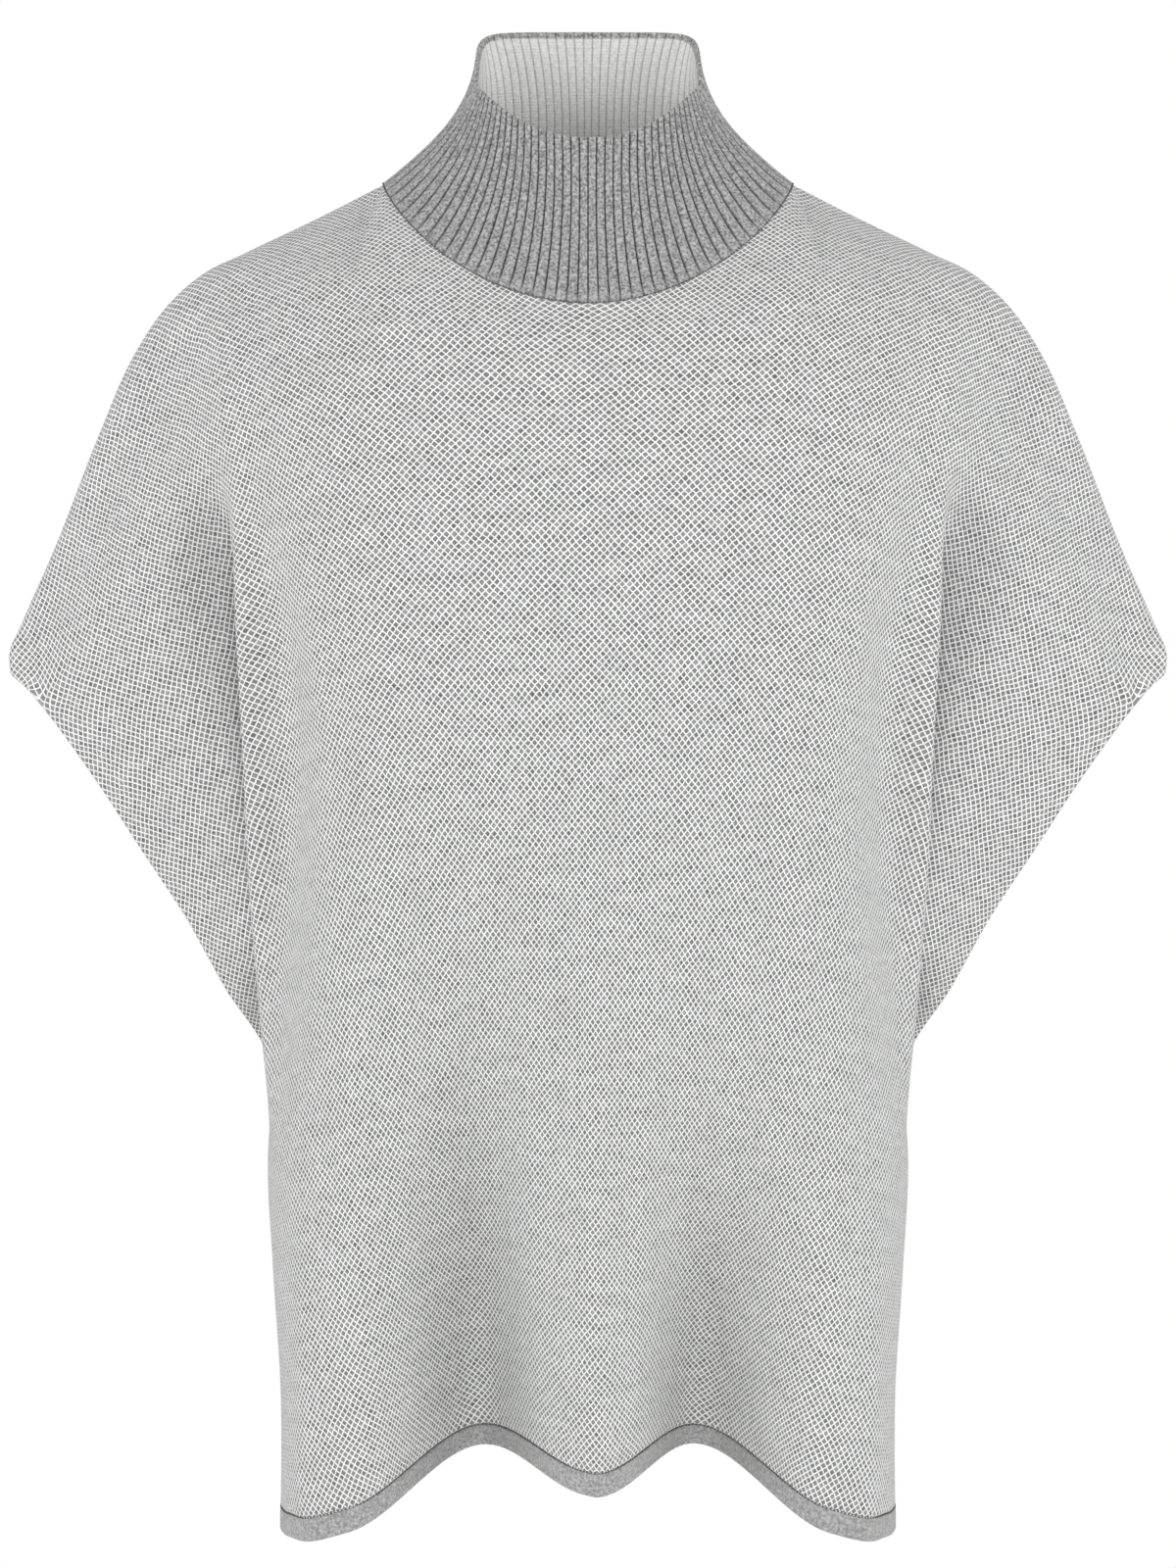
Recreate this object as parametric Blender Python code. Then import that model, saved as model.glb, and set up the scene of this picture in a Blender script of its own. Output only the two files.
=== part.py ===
"""Knitted poncho sweater, hollow as worn: front and back panels with wings, funnel collar, hem bands.

Front faces -Y, +X is to the right seen from the front, +Z is up.
The origin lies midway between the two points where collar and ridges meet, where the wearer carries it.
Tables are in millimetres; the meshes are in metres.
"""

import bpy
import numpy as np

MM = 0.001

PANEL_WALL = 2.0 * MM  # birdseye knit with floats behind
COLLAR_WALL = 3.0 * MM  # rib at its crests
BAND_WALL = 2.4 * MM
BAND_HEIGHT = 12.6 * MM
SEAM_GAP = 0.3 * MM  # between any two sewn edges

NECK_COLUMNS = 9  # of a half panel, from its centre line along the neckline
SIDE_COLUMNS = 14  # of a half panel, from the neckline's end to the side edge
COLLAR_SIDES = 4 * NECK_COLUMNS
COLLAR_ROWS = 6
ROWS_IN_SPAN = (3, 2, 2, 2, 2, 2, 1, 1, 1, 1, 1)  # mesh rows from neckline and ridge down, level to level


def table(names, rows):
    """The columns of a table, each an array under its name."""
    return dict(zip(names.split(), np.array(rows, float).T))


# The funnel collar's loops: half width, depth to front and back, height at front, side and back.
# A corner power of 2 is an ellipse, more is squarer.
LOOPS = table(
    "half_width front back z_front z_side z_back front_power back_power front_drop back_drop",
    [
        (110, 85, 64, -72, 3, 12, 2.0, 2.0, 1.5, 1.5),  # neckline, where it is sewn on
        (71, 62, 52, -24, 34, 48, 2.1, 2.6, 1.3, 1.2),  # pulls the wall in to the neck
        (60, 52, 45, 20, 56, 95, 2.2, 7.0, 2.0, 0.7),  # top rim
    ],
)

# The ridge line over shoulder and arm, from the neck to the wing's tip.
RIDGE = table(
    "x z",
    [
        (110, 3),
        (141, -13),
        (186, -35),
        (207, -46),
        (229, -66),
        (243, -87),
        (262, -130),
        (287, -193),
        (306, -236),
        (312, -250),
        (311, -262),
    ],
)

# Sections of the front from the first level below the neck, over the shoulder, to the lower edge.
# crest: where the body's front turns back, foot: set-back strip, fold: edge of the armpit fold,
# tuck: its hidden turn, edge: the wing's open edge, and from the underarm down the side seam.
SECTIONS = table(
    "z_mid z_crest z_fold z_edge mid_y crest_x crest_y foot_x foot_y"
    " fold_x fold_y tuck_x tuck_y edge_x edge_y",
    [
        (-94, -62, -80, -268, -98, 150, -60, 180, -48, 203, -38, 214, -32, 304, -5),
        (-118, -124, -134, -280, -108, 148, -88, 174, -71, 194, -56, 205, -45, 293, -11),
        (-171, -180, -186, -321, -118, 147, -92, 169, -66, 187, -50, 181, -34, 262, -20),
        (-226, -238, -243, -355, -121, 141, -93, 160, -60, 184, -48, 166, -30, 239, -26),
        (-286, -300, -305, -391, -120, 136, -92, 156, -58, 180, -48, 158, -28, 215, -28),
        (-351, -366, -370, -430, -118, 138, -92, 156, -58, 177, -46, 156, -25, 194, -22),
        (-421, -435, -440, -468, -116, 142, -92, 159, -62, 172, -43, 160, -20, 173, 0),
        (-491, -504, -508, -522, -115, 145, -92, 159, -73, 166, -56, 168, -44, 167, 0),
        (-561, -574, -578, -586, -113, 146, -93, 157, -75, 163, -58, 165, -49, 164, 0),
        (-621, -636, -638, -647, -111, 145, -93, 154, -77, 159, -60, 161, -51, 161, 0),
        (-673, -699, -702, -700, -110, 144, -92, 154, -75, 159, -58, 161, -49, 163, 0),
    ],
)
UNDERARM = 6  # the section at which the wing's opening ends

# Where each feature lies across a half panel, from centre line to edge, and where its column meets the ridge.
NECK_AT = 0.3
FEATURES_AT = (0.0, 0.2, 0.4, 0.5, 0.6, 0.65, 0.75, 0.9, 1.0)
CHEST_AT = (0.62, 0.2, 0.4)  # the chest point's shares, in x, y and z, of the way from centre line to crest
TUCK_DROP = 0.12  # share of the fall from fold to edge that the tuck lies down
WING_AT = (0.35, 0.75)  # the wing's two points, as shares of the way from tuck to edge
WING_BOW = (11 * MM, 7 * MM)  # how far each stands off, so that the wing lies close behind the fold
RIDGE_X = table(
    "at x",
    [(0.3, 110), (0.4, 165), (0.5, 198), (0.6, 224), (0.75, 254), (1.0, 311)],
)
RIDGE_STEPS = 600  # samples that the ridge line is read from

# The roll over the ridge: its reach down a column, its fall, and how soon it starts past the neck's corner.
ROLL_SHARE = 0.2
MOST_ROLL = 11 * MM
ROLL_FALL = 0.25
ROLL_FROM_CORNER = 0.2

# How far the back stands off compared with the front, and how much of the armpit fold it has.
BACK_DEPTH = 0.92
BACK_FOLD = 0.55
BACK_RISE = 14 * MM  # the back's centre levels lie higher, over the shoulder blades
BACK_HEM_Z = (-674 * MM, -682 * MM, -690 * MM)  # lower edge at the centre, crest and fold

# Flutes of the skirt: hollows that deepen to the lower edge. Side -1 is the front, 1 the back.
FLUTES = table(
    "side x reach_left reach_right top_z depth lift",
    [
        (-1, -57, 66, 64, -330, 78, 17),
        (-1, 58, 57, 66, -430, 76, 17),
        (1, -92, 52, 44, -380, 52, 4),
        (1, -4, 44, 45, -420, 60, 6),
        (1, 86, 45, 52, -350, 55, 4),
    ],
)
FLUTE_GROWTH = 1.4  # power at which a flute's depth grows on its way down


def remove_everything():
    for thing in list(bpy.data.objects):
        bpy.data.objects.remove(thing, do_unlink=True)


def curve_through(knots, points, at):
    """A smooth curve (cubic Hermite pieces, Catmull-Rom slopes) through the points, read where asked."""
    knots = np.asarray(knots, float)
    points = np.asarray(points, float).reshape(len(knots), -1)
    steps = np.diff(knots)[:, None]
    chords = np.diff(points, axis=0) / steps
    slopes = np.empty_like(points)
    slopes[1:-1] = (chords[:-1] * steps[1:] + chords[1:] * steps[:-1]) / (steps[1:] + steps[:-1])
    slopes[0] = 1.5 * chords[0] - 0.5 * slopes[1]
    slopes[-1] = 1.5 * chords[-1] - 0.5 * slopes[-2]
    at = np.clip(np.asarray(at, float), knots[0], knots[-1])
    piece = np.clip(np.searchsorted(knots, at, side="right") - 1, 0, len(knots) - 2)
    step = steps[piece]
    t = ((at - knots[piece]) / step[:, 0])[:, None]
    return (
        (1 + 2 * t) * (1 - t) ** 2 * points[piece]
        + t * (1 - t) ** 2 * step * slopes[piece]
        + t**2 * (3 - 2 * t) * points[piece + 1]
        + t**2 * (t - 1) * step * slopes[piece + 1]
    )


def chord_knots(points):
    """Knots spaced by the distances between the points."""
    steps = np.linalg.norm(np.diff(points, axis=0), axis=1)
    return np.concatenate([[0.0], np.cumsum(np.maximum(steps, 1e-6))])


def collar_loop(row, angle):
    """Points of one collar loop. Angle 0 is the front, a quarter turn the right side, half a turn the back."""
    c, s = np.cos(angle), np.sin(angle)
    ahead = c >= 0
    power = np.where(ahead, LOOPS["front_power"][row], LOOPS["back_power"][row])
    reach = np.where(ahead, LOOPS["front"][row], LOOPS["back"][row])
    end_z = np.where(ahead, LOOPS["z_front"][row], LOOPS["z_back"][row])
    x = LOOPS["half_width"][row] * np.sign(s) * np.abs(s) ** (2 / power)
    y = -reach * np.sign(c) * np.abs(c) ** (2 / power)
    side_z = LOOPS["z_side"][row]
    drop = np.where(ahead, LOOPS["front_drop"][row], LOOPS["back_drop"][row])
    z = side_z + (end_z - side_z) * np.abs(c) ** (2 / power * drop)
    return np.stack([x, y, z], axis=-1) * MM


def ridge_points(x):
    """Points of the right-hand ridge line, where its table crosses the widths given, in metres."""
    line = np.stack([RIDGE["x"], 0 * RIDGE["x"], RIDGE["z"]], axis=-1) * MM
    knots = chord_knots(line)
    fine = np.linspace(0, knots[-1], RIDGE_STEPS)
    curve = curve_through(knots, line, fine)
    length_at_x = np.interp(x, np.maximum.accumulate(curve[:, 0]), fine)
    length_at_x = np.where(x >= RIDGE["x"][-1] * MM, knots[-1], length_at_x)
    return curve_through(knots, line, length_at_x)


def top_row(at, side):
    """The half panel's top edge: neckline, then ridge. Side is -1 for the front, 1 for the back."""
    quarter = np.clip(at / NECK_AT, 0, 1) * np.pi / 2
    neck = collar_loop(0, quarter if side < 0 else np.pi - quarter)
    ridge = ridge_points(np.interp(at, RIDGE_X["at"], RIDGE_X["x"]) * MM)
    return np.where((at < NECK_AT)[:, None], neck, ridge)


def section_row(level, at, side):
    """One section of a half panel, from its centre line to its edge, before the flutes."""
    row = {name: column[level] * MM for name, column in SECTIONS.items()}
    z_mid, z_crest, z_fold, z_edge = row["z_mid"], row["z_crest"], row["z_fold"], row["z_edge"]
    fold_x = row["fold_x"]
    tuck_x = row["tuck_x"]
    if side > 0:
        share = level / (len(SECTIONS["z_mid"]) - 1)
        z_mid += BACK_RISE * (1 - share)
        if level == len(SECTIONS["z_mid"]) - 1:
            z_mid, z_crest, z_fold = BACK_HEM_Z
        natural_x = (fold_x + row["edge_x"]) / 2
        tuck_x += (1 - BACK_FOLD) * max(natural_x - tuck_x, 0.0)
    mid = np.array((0.0, row["mid_y"], z_mid))
    crest = np.array((row["crest_x"], row["crest_y"], z_crest))
    chest = mid + np.array(CHEST_AT) * (crest - mid)
    foot = (row["foot_x"], row["foot_y"], (z_crest + z_fold) / 2)
    fold = (fold_x, row["fold_y"], z_fold)
    tuck = np.array((tuck_x, row["tuck_y"], z_fold + TUCK_DROP * (z_edge - z_fold)))
    edge = np.array((row["edge_x"], row["edge_y"], z_edge))
    bowed = min((level + 1) / 3, 1.0) if level < UNDERARM else 0.0
    wing = [tuck + share * (edge - tuck) - (0, bowed * bow, 0) for share, bow in zip(WING_AT, WING_BOW)]
    points = np.array([mid, chest, crest, foot, fold, tuck, *wing, edge])
    if side > 0:
        points[:, 1] *= -BACK_DEPTH
    return curve_through(FEATURES_AT, points, at)


def fluted(points, side):
    """The points with the skirt's hollows pressed in, each deepening from its top to the lower edge."""
    points = points.copy()
    bottom = SECTIONS["z_mid"][-1] * MM
    for i in np.flatnonzero(FLUTES["side"] == side):
        top = FLUTES["top_z"][i] * MM
        down = np.maximum((top - points[..., 2]) / (top - bottom), 0)
        away = points[..., 0] - FLUTES["x"][i] * MM
        reach = np.where(away < 0, FLUTES["reach_left"][i], FLUTES["reach_right"][i]) * MM
        hollow = (0.5 + 0.5 * np.cos(np.pi * np.minimum(np.abs(away) / reach, 1))) * down**FLUTE_GROWTH
        points[..., 1] -= side * FLUTES["depth"][i] * MM * hollow
        points[..., 2] += FLUTES["lift"][i] * MM * hollow
    return points


def panel_middle(side):
    """The panel's middle surface as a grid of points [row, column]."""
    at = np.concatenate(
        [np.linspace(0, NECK_AT, NECK_COLUMNS, endpoint=False), np.linspace(NECK_AT, 1, SIDE_COLUMNS + 1)]
    )
    levels = [top_row(at, side)]
    levels += [section_row(level, at, side) for level in range(len(SECTIONS["z_mid"]))]
    levels = np.array(levels)
    places = [span + i / rows for span, rows in enumerate(ROWS_IN_SPAN) for i in range(rows)]
    places = np.array(places + [len(ROWS_IN_SPAN)])
    half = np.empty((len(places), len(at), 3))
    for j, across in enumerate(at):
        column = levels[:, j]
        knots = chord_knots(column)
        at_places = np.interp(places, np.arange(len(knots)), knots)
        if across >= NECK_AT:
            column, knots = rolled_over(column, knots, across, side)
        half[:, j] = curve_through(knots, column, at_places)
    left = half[:, :0:-1] * (-1, 1, 1)
    return fluted(np.concatenate([left, half], axis=1), side)


def rolled_over(column, knots, across, side):
    """The column with a point added just past the ridge, so that the cloth rolls over it and doesn't break."""
    fall = column[1] - column[0]
    length = np.linalg.norm(fall)
    roll = min(ROLL_SHARE * length, MOST_ROLL)
    past_corner = min((across - NECK_AT) / ROLL_FROM_CORNER, 1)
    way = (1 - past_corner + ROLL_FALL) * fall / length + past_corner * np.array((0, side, 0))
    over = column[0] + roll * way / np.linalg.norm(way)
    column = np.concatenate([column[:1], [over], column[1:]])
    knots = np.concatenate([knots[:1], [roll], knots[1:]])
    return column, knots


def grid_normals(grid, side):
    """Unit normals of a panel's grid, pointing out of the garment."""
    normals = side * np.cross(np.gradient(grid, axis=1), np.gradient(grid, axis=0))
    return normals / np.linalg.norm(normals, axis=-1, keepdims=True)


def eased(line):
    """The line of vectors with each drawn towards its neighbours, so that edges sewn together don't twist."""
    for _ in range(2):
        line = np.concatenate([line[:1], (line[:-2] + 2 * line[1:-1] + line[2:]) / 4, line[-1:]])
    return line


def flattened(normals, axis):
    """The normals without their part along one axis, so that two walls meet face to face across it."""
    normals = normals.copy()
    normals[..., axis] = 0
    return normals / np.linalg.norm(normals, axis=-1, keepdims=True)


def wall_mesh(name, middle, normals, wall, closed=False):
    """A closed wall around a grid of middle points: outer and inner grid, joined along the borders."""
    rows, columns = middle.shape[:2]
    count = rows * columns
    points = np.concatenate(
        [(middle + normals * wall / 2).reshape(-1, 3), (middle - normals * wall / 2).reshape(-1, 3)]
    )
    faces = []
    last = columns if closed else columns - 1
    for i in range(rows - 1):
        for j in range(last):
            a, b = i * columns + j, i * columns + (j + 1) % columns
            c, d = b + columns, a + columns
            faces.append((a, b, c, d))
            faces.append((count + a, count + d, count + c, count + b))
    for j in range(last):
        a, b = j, (j + 1) % columns
        faces.append((b, a, count + a, count + b))
        a, b = a + count - columns, b + count - columns
        faces.append((a, b, count + b, count + a))
    if not closed:
        for i in range(rows - 1):
            a, d = i * columns, (i + 1) * columns
            faces.append((a, d, count + d, count + a))
            a, d = a + columns - 1, d + columns - 1
            faces.append((d, a, count + a, count + d))
    mesh = bpy.data.meshes.new(name)
    mesh.from_pydata(points.tolist(), [], faces)
    mesh.validate()
    mesh.shade_smooth()
    return mesh


def outward(mesh):
    """Turns the faces round if the solid's volume comes out negative."""
    mesh.calc_loop_triangles()
    volume = 0.0
    for triangle in mesh.loop_triangles:
        a, b, c = (mesh.vertices[i].co for i in triangle.vertices)
        volume += a.dot(b.cross(c))
    if volume < 0:
        mesh.flip_normals()
    return mesh


def knit_material(name, colour, roughness):
    material = bpy.data.materials.new(name)
    material.use_nodes = True
    shader = material.node_tree.nodes["Principled BSDF"]
    shader.inputs["Base Color"].default_value = (*colour, 1.0)
    shader.inputs["Roughness"].default_value = roughness
    shader.inputs["Metallic"].default_value = 0.0
    return material


def add_piece(name, mesh, material):
    mesh.materials.append(material)
    mesh.set_sharp_from_angle(angle=np.radians(50))
    piece = bpy.data.objects.new(name, mesh)
    bpy.context.scene.collection.objects.link(piece)
    return piece


def collar_middle():
    """The collar's middle surface: each line up the wall is a quadratic curve from neckline to rim."""
    angle = np.arange(COLLAR_SIDES) / COLLAR_SIDES * 2 * np.pi
    base, pull, rim = (collar_loop(row, angle) for row in range(3))
    t = np.linspace(0, 1, COLLAR_ROWS + 1)[:, None, None]
    return (1 - t) ** 2 * base + 2 * t * (1 - t) * pull + t**2 * rim


def ring_normals(grid):
    """Unit outward normals of a closed ring of lines that run up the wall, flat at its two side lines."""
    across = np.roll(grid, -1, axis=1) - np.roll(grid, 1, axis=1)
    normals = np.cross(across, np.gradient(grid, axis=0))
    normals /= np.linalg.norm(normals, axis=-1, keepdims=True)
    sides = [NECK_COLUMNS, 3 * NECK_COLUMNS]
    normals[:, sides] = flattened(normals[:, sides], 1)
    return normals


def build_panel(name, side, neckline, material):
    """One panel, and what its hem band needs: the lower edge, its normals and the way the cloth falls there."""
    middle = panel_middle(side)
    normals = grid_normals(middle, side)
    centre = NECK_COLUMNS + SIDE_COLUMNS
    neck = slice(centre - NECK_COLUMNS, centre + NECK_COLUMNS + 1)
    quarter = np.arange(-NECK_COLUMNS, NECK_COLUMNS + 1)
    lines = quarter if side < 0 else COLLAR_SIDES // 2 - quarter
    normals[0] = flattened(normals[0], 1)
    middle[0, :, 1] = side * SEAM_GAP / 2
    points, rise, collar_normals = (part[lines % COLLAR_SIDES] for part in neckline)
    middle[0, neck] = points - rise * SEAM_GAP / 2
    normals[0, neck] = collar_normals
    middle[0, (neck.start, neck.stop - 1), 1] = side * SEAM_GAP / 2
    sewn = sum(ROWS_IN_SPAN[: UNDERARM + 1])
    edges = (0, -1)
    for edge in edges:
        normals[sewn:, edge] = flattened(normals[sewn:, edge], 1)
        middle[sewn:, edge, 1] = side * SEAM_GAP / 2
    fall = eased(middle[-1] - middle[-2])
    fall[edges, 1] = 0
    fall /= np.linalg.norm(fall, axis=-1, keepdims=True)
    normals[-1, 1:-1] = eased(normals[-1])[1:-1]
    lower_edge = middle[-1].copy(), normals[-1].copy(), fall
    middle[-1] -= fall * SEAM_GAP / 2
    add_piece(name, outward(wall_mesh(name, middle, normals, PANEL_WALL)), material)
    return lower_edge


def build_band(name, lower_edge, normals, fall, material):
    """The hem band hangs on from the panel's lower edge in the cloth's own direction."""
    heights = np.array([SEAM_GAP / 2, BAND_HEIGHT])[:, None, None]
    middle = lower_edge + fall * heights
    normals = np.stack([normals, normals])
    add_piece(name, outward(wall_mesh(name, middle, normals, BAND_WALL)), material)


def build_collar(material):
    """The collar, and its neckline: points, the way the wall rises there, and the normals."""
    middle = collar_middle()
    normals = ring_normals(middle)
    rise = middle[1] - middle[0]
    rise /= np.linalg.norm(rise, axis=-1, keepdims=True)
    neckline = middle[0].copy(), rise, normals[0]
    middle[0] += rise * SEAM_GAP / 2
    add_piece("collar", outward(wall_mesh("collar", middle, normals, COLLAR_WALL, closed=True)), material)
    return neckline


def main():
    remove_everything()
    birdseye = knit_material("birdseye_knit", (0.53, 0.53, 0.53), 0.9)
    rib = knit_material("rib_knit", (0.22, 0.22, 0.22), 0.9)
    plain = knit_material("plain_knit", (0.33, 0.33, 0.33), 0.9)
    neckline = build_collar(rib)
    for place, side in (("front", -1), ("back", 1)):
        lower_edge = build_panel(place + "_panel", side, neckline, birdseye)
        build_band("hem_band_" + place, *lower_edge, plain)


main()
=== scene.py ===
"""Knitted poncho sweater, worn by nobody: birdseye panels with wings, ribbed collar, plain hem bands."""

import bpy
import numpy as np
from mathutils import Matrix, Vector


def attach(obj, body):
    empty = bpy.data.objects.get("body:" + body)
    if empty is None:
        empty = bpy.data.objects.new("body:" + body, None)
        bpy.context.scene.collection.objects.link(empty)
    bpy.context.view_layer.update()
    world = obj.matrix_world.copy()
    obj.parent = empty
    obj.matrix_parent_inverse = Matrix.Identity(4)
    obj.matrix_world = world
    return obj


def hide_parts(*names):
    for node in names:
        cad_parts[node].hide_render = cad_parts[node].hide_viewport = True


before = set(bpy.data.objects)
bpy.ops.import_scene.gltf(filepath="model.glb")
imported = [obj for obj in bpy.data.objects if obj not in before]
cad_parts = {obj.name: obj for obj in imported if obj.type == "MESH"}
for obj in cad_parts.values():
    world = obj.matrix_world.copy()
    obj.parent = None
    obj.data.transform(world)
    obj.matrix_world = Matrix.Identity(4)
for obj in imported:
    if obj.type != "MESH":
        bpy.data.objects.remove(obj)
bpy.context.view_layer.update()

# ---------------------------------------------------------------------------------------------------
# Front and back panels: each is one piece of two-colour birdseye jersey in a soft wool, knitted from
# the hem up. The ridge over shoulder and arm and the seams below the underarm are linked; the wing's
# edge is self-finished. Both hang from the wearer's shoulders.
# ---------------------------------------------------------------------------------------------------
MM = 0.001
PANEL_WALL = 2.0 * MM

# Loops of the collar, of which the first is the neckline: half width, depths and heights, in mm.
# A corner power of 2 is an ellipse, more is squarer.
LOOP_NAMES = (
    "half_width front back z_front z_side z_back front_power back_power front_drop back_drop".split()
)
LOOPS = [
    dict(zip(LOOP_NAMES, row))
    for row in (
        (110, 85, 64, -72, 3, 12, 2.0, 2.0, 1.5, 1.5),  # neckline
        (71, 62, 52, -24, 34, 48, 2.1, 2.6, 1.3, 1.2),  # pulls the wall in to the neck
        (60, 52, 45, 20, 56, 95, 2.2, 7.0, 2.0, 0.7),  # top rim
    )
]

# The ridge line over shoulder and arm, from the neck to the wing's tip: x and z, in mm.
RIDGE = np.array(
    [
        (110, 3),
        (141, -13),
        (186, -35),
        (207, -46),
        (229, -66),
        (243, -87),
        (262, -130),
        (287, -193),
        (306, -236),
        (312, -250),
        (311, -262),
    ]
)

# Sections of the front panel in mm, from over the shoulder to the lower edge. crest: where the body's
# front turns back, foot: set-back strip, fold: edge of the armpit fold, tuck: its hidden turn,
# edge: the wing's open edge, and from the underarm down the side seam.
SECTION_NAMES = (
    "z_mid z_crest z_fold z_edge mid_y crest_x crest_y foot_x foot_y"
    " fold_x fold_y tuck_x tuck_y edge_x edge_y"
).split()
SECTIONS = [
    dict(zip(SECTION_NAMES, np.array(row) * MM))
    for row in (
        (-94, -62, -80, -268, -98, 150, -60, 180, -48, 203, -38, 214, -32, 304, -5),
        (-118, -124, -134, -280, -108, 148, -88, 174, -71, 194, -56, 205, -45, 293, -11),
        (-171, -180, -186, -321, -118, 147, -92, 169, -66, 187, -50, 181, -34, 262, -20),
        (-226, -238, -243, -355, -121, 141, -93, 160, -60, 184, -48, 166, -30, 239, -26),
        (-286, -300, -305, -391, -120, 136, -92, 156, -58, 180, -48, 158, -28, 215, -28),
        (-351, -366, -370, -430, -118, 138, -92, 156, -58, 177, -46, 156, -25, 194, -22),
        (-421, -435, -440, -468, -116, 142, -92, 159, -62, 172, -43, 160, -20, 173, 0),
        (-491, -504, -508, -522, -115, 145, -92, 159, -73, 166, -56, 168, -44, 167, 0),
        (-561, -574, -578, -586, -113, 146, -93, 157, -75, 163, -58, 165, -49, 164, 0),
        (-621, -636, -638, -647, -111, 145, -93, 154, -77, 159, -60, 161, -51, 161, 0),
        (-673, -699, -702, -700, -110, 144, -92, 154, -75, 159, -58, 161, -49, 163, 0),
    )
]
UNDERARM = 6  # the section at which the wing's opening ends
LOWER_EDGE = len(SECTIONS) - 1

# Where the features lie across a half panel, and where a column that starts on the ridge meets it.
NECK_AT = 0.3
FEATURES_AT = (0.0, 0.2, 0.4, 0.5, 0.6, 0.65, 0.75, 0.9, 1.0)
RIDGE_AT = (0.3, 0.4, 0.5, 0.6, 0.75, 1.0)
RIDGE_X = (110, 165, 198, 224, 254, 311)
CHEST_AT = (0.62, 0.2, 0.4)  # the chest point's shares, in x, y and z, of the way to the crest
TUCK_DROP = 0.12
WING_AT = (0.35, 0.75)
WING_BOW = (11 * MM, 7 * MM)
ROLL_SHARE, MOST_ROLL, ROLL_FALL, ROLL_FROM_CORNER = 0.2, 11 * MM, 0.25, 0.2
BACK_DEPTH, BACK_FOLD, BACK_RISE = 0.92, 0.55, 14 * MM
BACK_HEM_Z = (-674 * MM, -682 * MM, -690 * MM)

# Flutes of the skirt, in mm: hollows that deepen to the lower edge. Side -1 is the front, 1 the back.
FLUTE_NAMES = "side x reach_left reach_right top_z depth lift".split()
FLUTES = [
    dict(zip(FLUTE_NAMES, row))
    for row in (
        (-1, -57, 66, 64, -330, 78, 17),
        (-1, 58, 57, 66, -430, 76, 17),
        (1, -92, 52, 44, -380, 52, 4),
        (1, -4, 44, 45, -420, 60, 6),
        (1, 86, 45, 52, -350, 55, 4),
    )
]
FLUTE_GROWTH = 1.4

# Soft creases pressed into the cloth, in mm: from x, z to x, z, half width, and depth, where a
# trough is positive and a ridge negative.
CREASE_NAMES = "side x0 z0 x1 z1 width depth".split()
CREASES = [
    dict(zip(CREASE_NAMES, row))
    for row in (
        (-1, -136, -150, -122, -400, 10, 2.2),
        (-1, 133, -170, 127, -430, 10, 2.0),
        (-1, -118, -230, -116, -560, 13, -1.6),
        (-1, 112, -300, 120, -640, 14, -1.8),
        (-1, -96, -45, -150, -110, 12, 1.6),
        (-1, 100, -50, 158, -104, 12, 1.4),
        (-1, -205, -95, -262, -300, 13, 1.8),
        (-1, 212, -110, 258, -290, 13, 1.6),
        (-1, -178, -70, -236, -260, 11, -1.3),
        (-1, 182, -80, 240, -250, 11, -1.2),
        (-1, 40, -330, 92, -600, 20, 1.6),
        (-1, -30, -420, -44, -640, 16, -1.4),
        (1, -130, -120, -122, -420, 11, 2.0),
        (1, 134, -140, 124, -380, 10, 2.2),
        (1, -208, -100, -256, -280, 13, 1.7),
        (1, 205, -95, 262, -300, 13, 1.6),
        (1, -60, -60, -110, -170, 16, 1.6),
        (1, 52, -60, 104, -190, 17, 1.8),
        (1, 20, -260, 48, -560, 18, -1.6),
        (1, -66, -300, -50, -600, 17, 1.4),
    )
]


def curve_through(knots, points, at):
    """A smooth curve (cubic Hermite pieces, Catmull-Rom slopes) through the points, read where asked."""
    knots = np.asarray(knots, float)
    points = np.asarray(points, float).reshape(len(knots), -1)
    steps = np.diff(knots)[:, None]
    chords = np.diff(points, axis=0) / steps
    slopes = np.empty_like(points)
    slopes[1:-1] = (chords[:-1] * steps[1:] + chords[1:] * steps[:-1]) / (steps[1:] + steps[:-1])
    slopes[0] = 1.5 * chords[0] - 0.5 * slopes[1]
    slopes[-1] = 1.5 * chords[-1] - 0.5 * slopes[-2]
    at = np.clip(np.asarray(at, float), knots[0], knots[-1])
    piece = np.clip(np.searchsorted(knots, at, side="right") - 1, 0, len(knots) - 2)
    step = steps[piece]
    t = ((at - knots[piece]) / step[:, 0])[:, None]
    return (
        (1 + 2 * t) * (1 - t) ** 2 * points[piece]
        + t * (1 - t) ** 2 * step * slopes[piece]
        + t**2 * (3 - 2 * t) * points[piece + 1]
        + t**2 * (t - 1) * step * slopes[piece + 1]
    )


def lengths_along(points):
    """The length from the first point to each, along the last axis but one."""
    steps = np.maximum(np.linalg.norm(np.diff(points, axis=-2), axis=-1), 1e-7)
    start = np.zeros_like(steps[..., :1])
    return np.concatenate([start, np.cumsum(steps, axis=-1)], axis=-1)


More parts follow.
